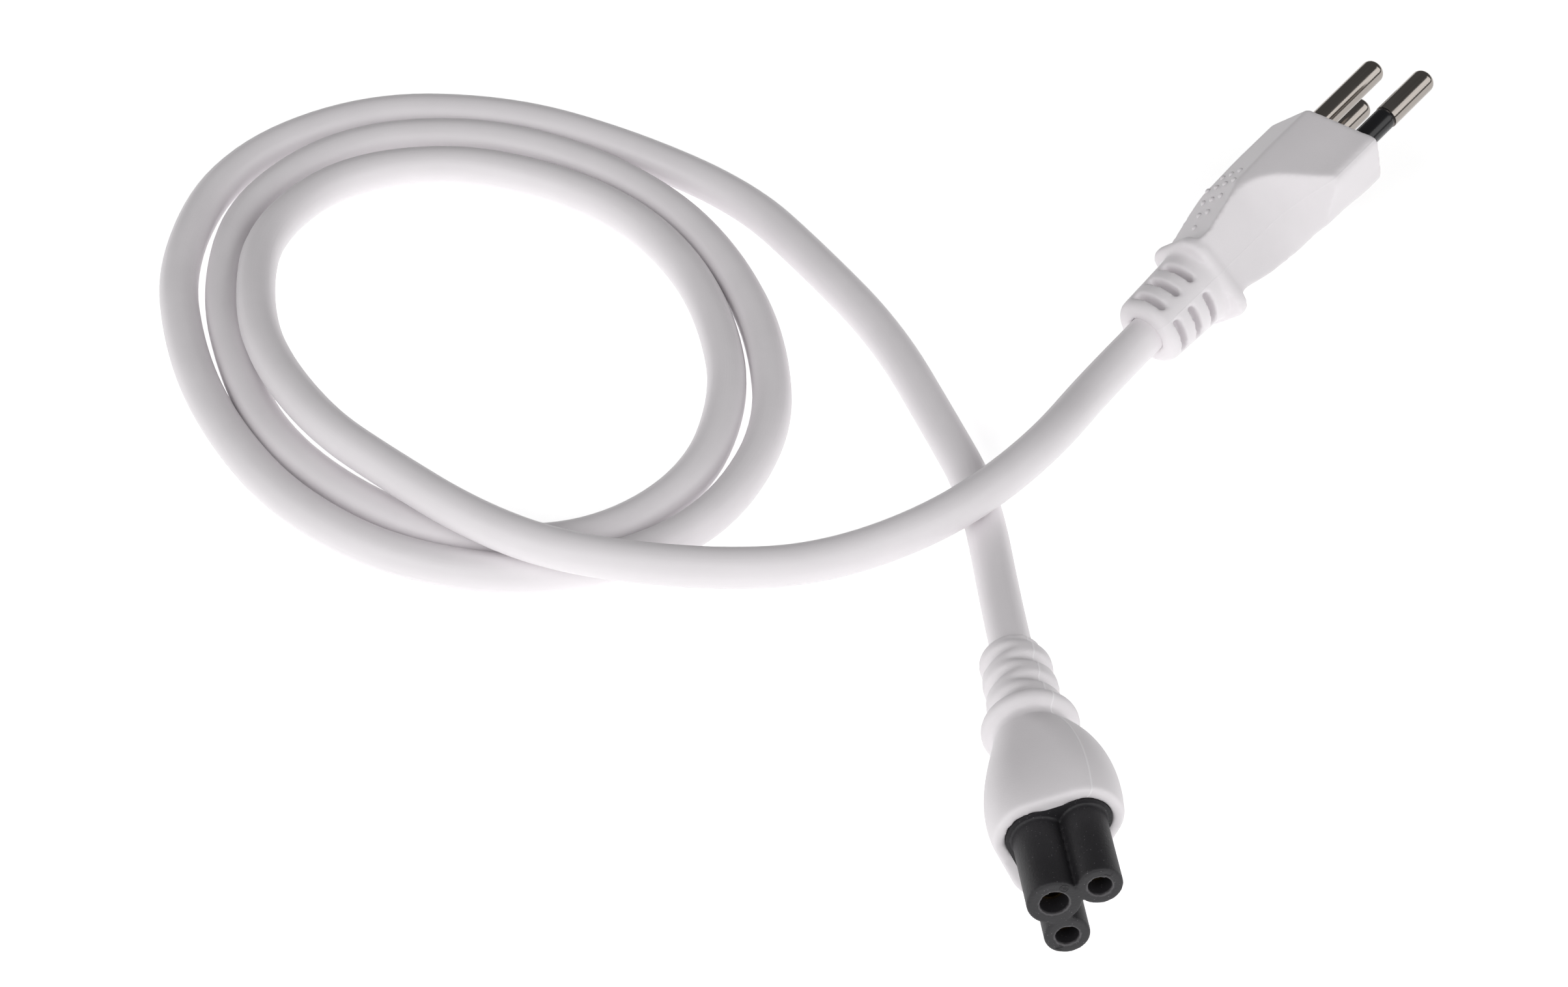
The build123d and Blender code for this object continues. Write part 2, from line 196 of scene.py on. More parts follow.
# %% [markdown]
# ## The soft mouldings
# The plug, the connector and its black front are moulded, so no edge on them is sharp. A copy of each solid
# is joined into one skin, rebuilt on a fine grid and then smoothed, which rounds every edge a little and
# keeps the form. The grid is finer than the slots in the strain relief and the contact holes, so they stay
# open.

# %% Soften a moulding
weld_distance = 0.001 * MM
white_grid, white_passes = 0.35 * MM, 8
black_grid, black_passes = 0.22 * MM, 3


def soft_moulding(node, name, grid, passes):
    """A copy of a solid with its edges eased, as a plain mesh."""
    skin = nodes[node].data.copy()
    shape = bmesh.new()
    shape.from_mesh(skin)
    bmesh.ops.remove_doubles(shape, verts=shape.verts, dist=weld_distance)
    shape.to_mesh(skin)
    shape.free()
    raw = bpy.data.objects.new(name + "_raw", skin)
    scene.collection.objects.link(raw)
    remesh = raw.modifiers.new("grid", "REMESH")
    remesh.mode = "VOXEL"
    remesh.voxel_size = grid
    smooth = raw.modifiers.new("ease", "SMOOTH")
    smooth.factor = 0.5
    smooth.iterations = passes
    evaluated = raw.evaluated_get(bpy.context.evaluated_depsgraph_get())
    mesh = bpy.data.meshes.new_from_object(evaluated)
    bpy.data.objects.remove(raw)
    mesh.name = name
    mesh.materials.clear()
    mesh.shade_smooth()
    piece = bpy.data.objects.new(name, mesh)
    scene.collection.objects.link(piece)
    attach(piece, "root")
    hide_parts(node)
    print(name, "faces", len(mesh.polygons))
    return piece


plug_moulding = soft_moulding("plug_body", "plug_moulding", white_grid, white_passes)
connector_moulding = soft_moulding(
    "connector_body", "connector_moulding", white_grid, white_passes
)
contact_front = soft_moulding("contact_insert", "contact_front", black_grid, black_passes)

# %% [markdown]
# ## The lean of the plug's two faces
# A moulding has a little draft, so that it leaves its mould. On the plug's earth side the face leans out by
# nearly half a millimetre from the waist to the head. The back is eased at the shoulder and filled at the
# waist, so that it runs straight from the head to the collar. Both are easiest to give to the finished skin,
# in the plug's frame.

# %% Lean the thumb face out and straighten the back
thumb_draft = 0.45 * MM
thumb_side, thumb_run = (2 * MM, 8 * MM), (-24 * MM, -8 * MM)
back_ease, back_fill = 0.45 * MM, 0.6 * MM
back_side = (1 * MM, 4 * MM)
shoulder_rise, shoulder_fall = (-19 * MM, -12 * MM), (3 * MM, 11 * MM)
waist_rise, waist_fall = (-31 * MM, -24 * MM), (13 * MM, 20 * MM)


def ramp(value, low, high):
    """0 below low, 1 above high, and a smooth rise between."""
    share = min(max((value - low) / (high - low), 0), 1)
    return share * share * (3 - 2 * share)


to_plug = plug_frame.inverted()
for vertex in plug_moulding.data.vertices:
    local = to_plug @ vertex.co
    shoulder = ramp(local.z, *shoulder_rise) * ramp(-local.z, *shoulder_fall)
    waist = ramp(local.z, *waist_rise) * ramp(-local.z, *waist_fall)
    local.y += thumb_draft * ramp(local.y, *thumb_side) * ramp(local.z, *thumb_run)
    local.y += (back_ease * shoulder - back_fill * waist) * ramp(-local.y, *back_side)
    vertex.co = plug_frame @ local
print("thumb face leans out by", thumb_draft, "m, back filled by", back_fill, "m")

# %% [markdown]
# ## Building finishes from nodes
# Every finish is a tree of shader nodes. A few small helpers keep the trees short: one adds a node and fills
# or links its inputs, one opens a group with named sockets, so an effect is built once and used with other
# values in other finishes, and the rest each add one kind of node and hand back its result.


# %% Helpers for node trees
def add(tree, kind, inputs=None, **settings):
    """Add a node. Each input gets a value, or another node's output to link from."""
    node = tree.nodes.new(kind)
    for name, value in settings.items():
        setattr(node, name, value)
    for name, value in (inputs or {}).items():
        if isinstance(value, bpy.types.NodeSocket):
            tree.links.new(value, node.inputs[name])
        else:
            node.inputs[name].default_value = value
    return node


def new_group(kind, name, inputs, outputs):
    """A node group with named sockets, and the sockets inside it to link from and to."""
    tree = bpy.data.node_groups.new(name, kind)
    for label, sort, value in inputs:
        socket = tree.interface.new_socket(label, in_out="INPUT", socket_type="NodeSocket" + sort)
        if value is not None:
            socket.default_value = value
    for label, sort in outputs:
        tree.interface.new_socket(label, in_out="OUTPUT", socket_type="NodeSocket" + sort)
    return tree, add(tree, "NodeGroupInput").outputs, add(tree, "NodeGroupOutput").inputs


def use(tree, group, inputs):
    """Place a shader group in a material's tree with its own values."""
    return add(tree, "ShaderNodeGroup", inputs, node_tree=group).outputs


# %% Helpers for sums, noise and colours
def calc(tree, operation, *values):
    """One sum on numbers."""
    return add(tree, "ShaderNodeMath", dict(enumerate(values)), operation=operation).outputs[0]


def vector_calc(tree, operation, *values):
    """One sum on vectors, with its vector and its number."""
    return add(tree, "ShaderNodeVectorMath", dict(enumerate(values)), operation=operation).outputs


def noise(tree, place, scale, detail):
    """Soft noise at a place."""
    return add(tree, "ShaderNodeTexNoise", {"Vector": place, "Scale": scale, "Detail": detail}).outputs["Fac"]


def remap(tree, value, old, new, **settings):
    """A value moved from one range to another."""
    inputs = {"Value": value, "From Min": old[0], "From Max": old[1], "To Min": new[0], "To Max": new[1]}
    return add(tree, "ShaderNodeMapRange", inputs, **settings).outputs["Result"]


def dimmed(tree, colour, share):
    """A colour times a number."""
    return add(tree, "ShaderNodeVectorMath", {0: colour, "Scale": share}, operation="SCALE").outputs["Vector"]


def blend(tree, share, under, over):
    """One colour laid over another by a share. A mix node's colours are its inputs 6 and 7 and output 2."""
    return add(tree, "ShaderNodeMix", {"Factor": share, 6: under, 7: over}, data_type="RGBA").outputs[2]


# %% [markdown]
# ## Moulded skin
# Soft PVC copies the spark-eroded face of its mould: a very fine grain, and broad faint clouds where it
# cooled at another speed. Two sizes of noise give both: the wide one shades the colour and the gloss, the
# fine one is the height of the grain.

# %% Group: moulded skin
moulded_skin, given, made = new_group(
    "ShaderNodeTree",
    "moulded_skin",
    [
        ("Place", "Vector", None),
        ("Colour", "Color", (0.8, 0.8, 0.8, 1)),
        ("Mottle", "Float", 0.05),
        ("Grain", "Float", 2500),
        ("Least Roughness", "Float", 0.4),
    ],
    [("Colour", "Color"), ("Roughness", "Float"), ("Height", "Float")],
)
cloud_gloss = 0.2
clouds = noise(moulded_skin, given["Place"], scale=90, detail=3)
grain = noise(moulded_skin, given["Place"], scale=given["Grain"], detail=2)
dimmest = calc(moulded_skin, "SUBTRACT", 1, given["Mottle"])
shade = remap(moulded_skin, clouds, old=(0.35, 0.65), new=(dimmest, 1))
tint = dimmed(moulded_skin, given["Colour"], shade)
gloss = calc(moulded_skin, "MULTIPLY_ADD", clouds, cloud_gloss, given["Least Roughness"])
moulded_skin.links.new(tint, made["Colour"])
moulded_skin.links.new(gloss, made["Roughness"])
moulded_skin.links.new(grain, made["Height"])
print("group", moulded_skin.name, len(moulded_skin.nodes), "nodes")

# %% [markdown]
# ## The parting line
# Each end is moulded in two halves that meet on a plane through its axis, and a hair of soft plastic squeezes
# out between them. In the end's own frame that plane is Y = 0, so a narrow band about it is raised in the
# bump height, and its mask can make the thin plastic there a little paler. It could be a ridge of mesh, but
# it is finer than the grid of the moulding.

# %% Group: parting line
parting_line, given, made = new_group(
    "ShaderNodeTree",
    "parting_line",
    [("Place", "Vector", None), ("Height", "Float", 0), ("Width", "Float", 0.0002), ("Raise", "Float", 1.0)],
    [("Height", "Float"), ("Mask", "Float")],
)
sides = add(parting_line, "ShaderNodeSeparateXYZ", {0: given["Place"]}).outputs
away = calc(parting_line, "ABSOLUTE", sides["Y"])
ridge = remap(parting_line, away, old=(0, given["Width"]), new=(1, 0), interpolation_type="SMOOTHSTEP")
height = calc(parting_line, "MULTIPLY_ADD", ridge, given["Raise"], given["Height"])
parting_line.links.new(height, made["Height"])
parting_line.links.new(ridge, made["Mask"])
print("group", parting_line.name, len(parting_line.nodes), "nodes")

# %% [markdown]
# ## Specks
# Dark plastic and bright metal both show every speck of lint. Cells scattered over the surface give each a
# random number: only those under a limit get a speck, a small disc at the middle of the cell.

# %% Group: specks
specks, given, made = new_group(
    "ShaderNodeTree",
    "specks",
    [("Place", "Vector", None), ("Cells", "Float", 700), ("Share", "Float", 0.25), ("Size", "Float", 0.15)],
    [("Mask", "Float")],
)
cells = add(specks, "ShaderNodeTexVoronoi", {"Vector": given["Place"], "Scale": given["Cells"]}).outputs
disc = calc(specks, "LESS_THAN", cells["Distance"], given["Size"])
lucky = calc(specks, "LESS_THAN", cells["Color"], given["Share"])
specks.links.new(calc(specks, "MULTIPLY", disc, lucky), made["Mask"])
print("group", specks.name, len(specks.nodes), "nodes")

# %% [markdown]
# ## Drawn metal
# Pins and contacts are cut from drawn wire, plated and tumbled. What is left is a faint grain along the wire
# and soft patches where the plating is duller. The noise is squeezed along the wire's own Z, so its spots
# become long thin streaks.

# %% Group: drawn metal
drawn_metal, given, made = new_group(
    "ShaderNodeTree",
    "drawn_metal",
    [
        ("Place", "Vector", None),
        ("Colour", "Color", (0.7, 0.7, 0.7, 1)),
        ("Streaks", "Float", 0.15),
        ("Least Roughness", "Float", 0.12),
    ],
    [("Colour", "Color"), ("Roughness", "Float"), ("Height", "Float")],
)
along_wire = (1, 1, 0.02)
patch_gloss = 0.12
squeezed = vector_calc(drawn_metal, "MULTIPLY", given["Place"], along_wire)["Vector"]
streak = noise(drawn_metal, squeezed, scale=4000, detail=3)
patch = noise(drawn_metal, given["Place"], scale=350, detail=4)
dimmest = calc(drawn_metal, "SUBTRACT", 1, given["Streaks"])
shade = remap(drawn_metal, streak, old=(0.3, 0.6), new=(dimmest, 1))
tint = dimmed(drawn_metal, given["Colour"], shade)
gloss = calc(drawn_metal, "MULTIPLY_ADD", patch, patch_gloss, given["Least Roughness"])
drawn_metal.links.new(tint, made["Colour"])
drawn_metal.links.new(gloss, made["Roughness"])
drawn_metal.links.new(streak, made["Height"])
print("group", drawn_metal.name, len(drawn_metal.nodes), "nodes")

# %% [markdown]
# ## Pale hole edges
# The edge of each contact hole is painted paler and a little ragged. A ring round the hole's axis, near the
# front only, marks that edge, and a bit of noise in its radius makes it ragged.

# %% Group: hole edge
hole_edge, given, made = new_group(
    "ShaderNodeTree",
    "hole_edge",
    [
        ("Place", "Vector", None),
        ("Centre", "Vector", None),
        ("Radius", "Float", 0.002),
        ("Width", "Float", 0.0003),
        ("Ragged", "Float", 0.0004),
    ],
    [("Mask", "Float")],
)
edge_depth = 0.4 * MM
noise_middle = 0.5
from_centre = vector_calc(hole_edge, "SUBTRACT", given["Place"], given["Centre"])["Vector"]
flat = vector_calc(hole_edge, "MULTIPLY", from_centre, (1, 1, 0))["Vector"]
reach = vector_calc(hole_edge, "LENGTH", flat)["Value"]
torn = noise(hole_edge, given["Place"], scale=1800, detail=2)
bite = calc(hole_edge, "SUBTRACT", torn, noise_middle)
swing = calc(hole_edge, "MULTIPLY_ADD", bite, given["Ragged"], reach)
off = calc(hole_edge, "ABSOLUTE", calc(hole_edge, "SUBTRACT", swing, given["Radius"]))
band = remap(hole_edge, off, old=(0, given["Width"]), new=(1, 0))
sides = add(hole_edge, "ShaderNodeSeparateXYZ", {0: given["Place"]}).outputs
front = calc(hole_edge, "GREATER_THAN", sides["Z"], -edge_depth)
hole_edge.links.new(calc(hole_edge, "MULTIPLY", band, front), made["Mask"])
print("group", hole_edge.name, len(hole_edge.nodes), "nodes")

# %% [markdown]
# ## White finishes
# The two ends are matt white PVC with the faintest mauve tint. The flex is the same plastic drawn through a
# die, so it is glossier, with very faint lines along its length that follow its own map.


# %% Helpers for finishes
def new_finish(name):
    """A material, its tree, its shader and the piece's own coordinates."""
    material = bpy.data.materials.new(name)
    material.use_nodes = True
    tree = material.node_tree
    where = add(tree, "ShaderNodeTexCoord").outputs
    return material, tree, tree.nodes["Principled BSDF"], where


def in_frame(tree, place, end_frame):
    """The same place, told in an end's own frame."""
    inputs = {"Vector": place, "Location": end_frame.translation, "Rotation": end_frame.to_euler()}
    return add(tree, "ShaderNodeMapping", inputs, vector_type="TEXTURE").outputs["Vector"]


def skin_at(tree, place, colour, mottle, grain, roughness):
    """The moulded skin with its own colour, clouds, grain and gloss."""
    inputs = {
        "Place": place,
        "Colour": colour,
        "Mottle": mottle,
        "Grain": grain,
        "Least Roughness": roughness,
    }
    return use(tree, moulded_skin, inputs)


def coat(tree, shader, colour, roughness, height, strength, distance):
    """Link a colour, a roughness and the bumps of a height to the shader."""
    bump = add(tree, "ShaderNodeBump", {"Height": height, "Strength": strength, "Distance": distance})
    tree.links.new(colour, shader.inputs["Base Color"])
    tree.links.new(roughness, shader.inputs["Roughness"])
    tree.links.new(bump.outputs["Normal"], shader.inputs["Normal"])


# %% White moulding
white = (0.83, 0.80, 0.82, 1)
thin_white = (0.97, 0.95, 0.97, 1)
line_width = 0.2 * MM


def white_moulding(name, end_frame, line_raise, line_pale):
    """Matt white plastic with a parting line on the plane through the end's axis."""
    material, tree, shader, where = new_finish(name)
    skin = skin_at(tree, where["Object"], white, mottle=0.035, grain=3200, roughness=0.42)
    place = in_frame(tree, where["Object"], end_frame)
    inputs = {"Place": place, "Height": skin["Height"], "Width": line_width, "Raise": line_raise}
    line = use(tree, parting_line, inputs)
    colour = blend(tree, calc(tree, "MULTIPLY", line["Mask"], line_pale), skin["Colour"], thin_white)
    coat(tree, shader, colour, skin["Roughness"], line["Height"], strength=0.25, distance=0.06 * MM)
    return material


plug_white = white_moulding("plug_white", plug_frame, line_raise=2, line_pale=0.1)
connector_white = white_moulding("connector_white", connector_frame, line_raise=5, line_pale=0.8)
print("finishes", plug_white.name, connector_white.name)

# %% White flex
die_line_length = 50 * MM
die_lines_round = 60
die_line_height = 1.5
flex_white, tree, shader, where = new_finish("flex_white")
skin = skin_at(tree, where["Object"], white, mottle=0.03, grain=1500, roughness=0.33)
stretch = (flex_length / die_line_length, die_lines_round, 1)
stretched = vector_calc(tree, "MULTIPLY", where["UV"], stretch)["Vector"]
die_lines = noise(tree, stretched, scale=1, detail=2)
height = calc(tree, "MULTIPLY_ADD", die_lines, die_line_height, skin["Height"])
coat(tree, shader, skin["Colour"], skin["Roughness"], height, strength=0.2, distance=0.05 * MM)
print("finish", flex_white.name)

# %% [markdown]
# ## Metal finishes
# The pins are nickel-plated brass, bright with a warm cast. The contacts inside the connector are bare brass
# that has gone brown and dull. Both use the drawn metal, each with its own colour.

# %% Nickel and brass
lint_dullness = 0.4


def bright_metal(name, end_frame, colour, streaks, roughness):
    """Drawn metal along an end's axis, with a few specks of lint."""
    material, tree, shader, where = new_finish(name)
    place = in_frame(tree, where["Object"], end_frame)
    inputs = {"Place": place, "Colour": colour, "Streaks": streaks, "Least Roughness": roughness}
    metal = use(tree, drawn_metal, inputs)
    lint = use(tree, specks, {"Place": place, "Cells": 500, "Share": 0.2, "Size": 0.09})
    dull = calc(tree, "MULTIPLY_ADD", lint["Mask"], lint_dullness, metal["Roughness"])
    coat(tree, shader, metal["Colour"], dull, metal["Height"], strength=0.03, distance=0.03 * MM)
    shader.inputs["Metallic"].default_value = 1.0
    return material


nickel = bright_metal("nickel", plug_frame, (0.40, 0.365, 0.335, 1), streaks=0.12, roughness=0.1)
brass = bright_metal("brass", connector_frame, (0.16, 0.11, 0.05, 1), streaks=0.4, roughness=0.4)
print("finishes", nickel.name, brass.name)

# %% [markdown]
# ## Black finishes
# The sleeves on the two outer pins are glossy hard plastic. The connector's front is matt charcoal plastic
# with a mould grain, pale lint, and pale ragged rings painted round its three contact holes.

# %% Black sleeve
gloss_black = (0.012, 0.012, 0.014, 1)
sleeve_black, tree, shader, where = new_finish("sleeve_black")
skin = skin_at(tree, where["Object"], gloss_black, mottle=0.3, grain=5000, roughness=0.12)
coat(tree, shader, skin["Colour"], skin["Roughness"], skin["Height"], strength=0.1, distance=0.03 * MM)
print("finish", sleeve_black.name)

# %% Charcoal front with pale hole edges
charcoal = (0.021, 0.020, 0.023, 1)
# A pale ragged ring is painted round the front edge of each contact hole.
hole_ring_pale = (0.22, 0.21, 0.22, 1)
hole_ring_share = 0.35
hole_ring_width = 0.25 * MM
hole_ring_outset = 0.1 * MM
line_contact_spot = Vector((4.83, -1.5, 0)) * MM
neutral_contact_spot = Vector((-4.83, -1.5, 0)) * MM
earth_contact_spot = Vector((0, 3, 0)) * MM
line_hole_radius, earth_hole_radius = 1.65 * MM, 2 * MM
contact_holes = [
    (line_contact_spot, line_hole_radius),
    (neutral_contact_spot, line_hole_radius),
    (earth_contact_spot, earth_hole_radius),
]
front_black, tree, shader, where = new_finish("front_black")
place = in_frame(tree, where["Object"], connector_frame)
skin = skin_at(tree, place, charcoal, mottle=0.35, grain=2600, roughness=0.45)
pale = use(tree, specks, {"Place": place, "Cells": 2600, "Share": 0.3, "Size": 0.2})["Mask"]
# Each hole gets its painted pale ring, laid over the lint.
for centre, radius in contact_holes:
    inputs = {"Place": place, "Centre": centre, "Radius": radius + hole_ring_outset, "Width": hole_ring_width}
    pale = calc(tree, "MAXIMUM", pale, use(tree, hole_edge, inputs)["Mask"])
colour = blend(tree, calc(tree, "MULTIPLY", pale, hole_ring_share), skin["Colour"], hole_ring_pale)
coat(tree, shader, colour, skin["Roughness"], skin["Height"], strength=0.6, distance=0.08 * MM)
print("finish", front_black.name)

# %% [markdown]
# ## Finishes of the inner parts
# A carrier of pale nylon holds the pins inside the plug, and three stripped cores run from each end into the
# flex: brown, blue, and green with a yellow stripe. They are hidden by the mouldings, but the parts are there
# for anyone who opens the model.

# %% Nylon and core colours
core_green = (0.03, 0.25, 0.04, 1)
core_yellow = (0.75, 0.55, 0.03, 1)
stripe_level = 0.5
inner_mottle, inner_grain = 0.15, 4000
inner_bump, inner_bump_distance = 0.15, 0.04 * MM


def plain_plastic(name, colour, roughness):
    """Smooth coloured plastic with a little unevenness."""
    material, tree, shader, where = new_finish(name)
    skin = skin_at(tree, where["Object"], colour, inner_mottle, inner_grain, roughness)
    coat(tree, shader, skin["Colour"], skin["Roughness"], skin["Height"], inner_bump, inner_bump_distance)
    return material


def striped_core(name, end_frame, roughness):
    """Green plastic with yellow stripes along it."""
    material, tree, shader, where = new_finish(name)
    skin = skin_at(tree, where["Object"], core_green, inner_mottle, inner_grain, roughness)
    place = in_frame(tree, where["Object"], end_frame)
    inputs = {"Vector": place, "Scale": 140, "Distortion": 0.5}
    stripes = add(tree, "ShaderNodeTexWave", inputs, bands_direction="X").outputs["Fac"]
    colour = blend(tree, calc(tree, "GREATER_THAN", stripes, stripe_level), skin["Colour"], core_yellow)
    coat(tree, shader, colour, skin["Roughness"], skin["Height"], inner_bump, inner_bump_distance)
    return material


nylon = plain_plastic("nylon", (0.62, 0.60, 0.54, 1), roughness=0.35)
core_brown = plain_plastic("core_brown", (0.10, 0.035, 0.015, 1), roughness=0.3)
core_blue = plain_plastic("core_blue", (0.02, 0.09, 0.38, 1), roughness=0.3)
plug_stripes = striped_core("plug_stripes", plug_frame, roughness=0.3)
connector_stripes = striped_core("connector_stripes", connector_frame, roughness=0.3)
print("finishes", nylon.name, core_brown.name, core_blue.name, plug_stripes.name, connector_stripes.name)

# %% [markdown]
# ## The grip dots
# Thirteen small dots stand on the plug's earth side for the thumb: rows of three, four, three, two and one,
# like an arrowhead that points along the flex. Geometry Nodes lay them out: a grid of points, every other row
# shifted half a pitch, the corners left off, and each point dropped along a ray on to the moulding's skin,
# where a flattened ball stands square to it.

# %% The tree of the grip dots
dots_tree, given, made = new_group(
    "GeometryNodeTree",
    "grip_dots",
    [
        ("Skin", "Object", None),
        ("Place", "Vector", None),
        ("Turn", "Rotation", None),
        ("Columns", "Int", 4),
        ("Rows", "Int", 5),
        ("Pitch", "Float", 0.00275),
        ("Row Pitch", "Float", 0.0029),
        ("Dot Radius", "Float", 0.0005),
        ("Dot Height", "Float", 0.0004),
        ("Finish", "Material", None),
    ],
    [("Geometry", "Geometry")],
)


def dots_calc(operation, *values):
    """One sum in the dots' tree."""
    return calc(dots_tree, operation, *values)


widest_row = 1
just_over_half = 0.51
wide = dots_calc("MULTIPLY", dots_calc("SUBTRACT", given["Columns"], 1), given["Pitch"])
long = dots_calc("MULTIPLY", dots_calc("SUBTRACT", given["Rows"], 1), given["Row Pitch"])
grid = add(
    dots_tree,
    "GeometryNodeMeshGrid",
    {"Size X": wide, "Size Y": long, "Vertices X": given["Columns"], "Vertices Y": given["Rows"]},
)
position = add(dots_tree, "GeometryNodeInputPosition").outputs[0]
spot = add(dots_tree, "ShaderNodeSeparateXYZ", {0: position})
back = dots_calc("MULTIPLY_ADD", long, 0.5, spot.outputs["Y"])
row = dots_calc("ROUND", dots_calc("DIVIDE", back, given["Row Pitch"]))
half = dots_calc("MULTIPLY", given["Pitch"], 0.5)
even = dots_calc("SUBTRACT", 1, dots_calc("MODULO", row, 2))
across = dots_calc("MULTIPLY_ADD", even, half, spot.outputs["X"])
from_widest = dots_calc("ABSOLUTE", dots_calc("SUBTRACT", row, widest_row))
reach = dots_calc("MULTIPLY", wide, just_over_half)
limit = dots_calc("SUBTRACT", reach, dots_calc("MULTIPLY", from_widest, half))
outside = dots_calc("GREATER_THAN", dots_calc("ABSOLUTE", across), limit)
kept = add(
    dots_tree,
    "GeometryNodeDeleteGeometry",
    {"Geometry": grid.outputs["Mesh"], "Selection": outside},
)
laid_out = add(
    dots_tree,
    "GeometryNodeSetPosition",
    {
        "Geometry": kept.outputs["Geometry"],
        "Position": add(dots_tree, "ShaderNodeCombineXYZ", {"X": across, "Y": back}).outputs[0],
    },
)
above_skin = add(
    dots_tree,
    "GeometryNodeTransform",
    {"Geometry": laid_out.outputs["Geometry"], "Translation": given["Place"], "Rotation": given["Turn"]},
)
print("grip dots, layout nodes", len(dots_tree.nodes))

# %% Drop the dots on the skin
ray_length = 50 * MM
ball_segments, ball_rings = 20, 12
target = add(dots_tree, "GeometryNodeObjectInfo", {"Object": given["Skin"]})
down = add(dots_tree, "FunctionNodeRotateVector", {"Vector": (0, 0, -1), "Rotation": given["Turn"]})
ray = add(
    dots_tree,
    "GeometryNodeRaycast",
    {
        "Target Geometry": target.outputs["Geometry"],
        "Ray Direction": down.outputs[0],
        "Ray Length": ray_length,
    },
)
square = add(
    dots_tree,
    "FunctionNodeAlignRotationToVector",
    {"Vector": ray.outputs["Hit Normal"]},
    axis="Z",
)
ball = add(
    dots_tree,
    "GeometryNodeMeshUVSphere",
    {"Segments": ball_segments, "Rings": ball_rings, "Radius": given["Dot Radius"]},
)
squash = dots_calc("DIVIDE", given["Dot Height"], given["Dot Radius"])
flattened = add(
    dots_tree,
    "GeometryNodeTransform",
    {
        "Geometry": ball.outputs["Mesh"],
        "Scale": add(dots_tree, "ShaderNodeCombineXYZ", {"X": 1, "Y": 1, "Z": squash}).outputs[0],
    },
)
dotted = add(
    dots_tree,
    "GeometryNodeInstanceOnPoints",
    {
        "Points": above_skin.outputs["Geometry"],
        "Selection": ray.outputs["Is Hit"],
        "Instance": flattened.outputs["Geometry"],
        "Rotation": square.outputs["Rotation"],
    },
)
dropped = add(
    dots_tree,
    "GeometryNodeSetPosition",
    {"Geometry": dotted.outputs["Instances"], "Position": ray.outputs["Hit Position"]},
)
real = add(dots_tree, "GeometryNodeRealizeInstances", {"Geometry": dropped.outputs["Geometry"]})
smooth = add(dots_tree, "GeometryNodeSetShadeSmooth", {"Geometry": real.outputs["Geometry"]})
finished = add(
    dots_tree,
    "GeometryNodeSetMaterial",
    {"Geometry": smooth.outputs["Geometry"], "Material": given["Finish"]},
)
dots_tree.links.new(finished.outputs["Geometry"], made["Geometry"])
print("grip dots, all nodes", len(dots_tree.nodes))

# %% Make the grip dots
first_row_spot = Vector((0.2, 14, -15.5)) * MM
first_row = plug_frame @ Matrix.Translation(first_row_spot) @ Matrix.Rotation(radians(-90), 4, "X")
dots_values = {
    "Skin": plug_moulding,
    "Place": first_row.translation,
    "Turn": first_row.to_euler(),
    "Finish": plug_white,
}
dots_maker = bpy.data.objects.new("dots_maker", bpy.data.meshes.new("dots_maker"))
scene.collection.objects.link(dots_maker)
dots_modifier = dots_maker.modifiers.new("dots", "NODES")
dots_modifier.node_group = dots_tree
for socket in dots_tree.interface.items_tree:
    if socket.in_out == "INPUT":
        usual = getattr(socket, "default_value", None)
        dots_modifier[socket.identifier] = dots_values.get(socket.name, usual)
evaluated = dots_maker.evaluated_get(bpy.context.evaluated_depsgraph_get())
grip_dots = bpy.data.objects.new("grip_dots", bpy.data.meshes.new_from_object(evaluated))
bpy.data.objects.remove(dots_maker)
scene.collection.objects.link(grip_dots)
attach(grip_dots, "root")
ball_points = ball_segments * (ball_rings - 1) + 2
print("grip dots", len(grip_dots.data.vertices) // ball_points, "of", len(grip_dots.data.polygons), "faces")

# %% [markdown]
# ## The ledge of the contact front
# Where the three barrels leave the white moulding, the black front fills the whole opening, straight from
# barrel to barrel, so no white shows in the valleys. This ledge is the hull of three discs, one round each
# barrel, a hair proud of the white rim.

# %% Make the ledge
line_ledge_radius, earth_ledge_radius = 4 * MM, 4.6 * MM
ledge_discs = [
    (line_contact_spot, line_ledge_radius),
    (neutral_contact_spot, line_ledge_radius),
    (earth_contact_spot, earth_ledge_radius),
]
ledge_levels = (-13.5 * MM, -12.95 * MM)
ledge_step = 6
ledge_skin = bpy.data.meshes.new("front_ledge")
shape = bmesh.new()
for centre, radius in ledge_discs:
    for turn in range(0, 360, ledge_step):
        for level in ledge_levels:
            rim = Vector((radius * cos(radians(turn)), radius * sin(radians(turn)), level))
            shape.verts.new(connector_frame @ (centre + rim))
hull = bmesh.ops.convex_hull(shape, input=shape.verts)
bmesh.ops.delete(shape, geom=hull["geom_interior"], context="VERTS")
bmesh.ops.recalc_face_normals(shape, faces=shape.faces)
shape.to_mesh(ledge_skin)
shape.free()
front_ledge = bpy.data.objects.new("front_ledge", ledge_skin)
scene.collection.objects.link(front_ledge)
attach(front_ledge, "root")
print("ledge, faces", len(ledge_skin.polygons))

# %% [markdown]
# ## The contact marks
# Beside each contact hole is the usual small raised mark: L for line, N for neutral and the earth sign. They
# are drawn as a few strokes of a thin round line on the connector's front, made a mesh, and then set in
# place.

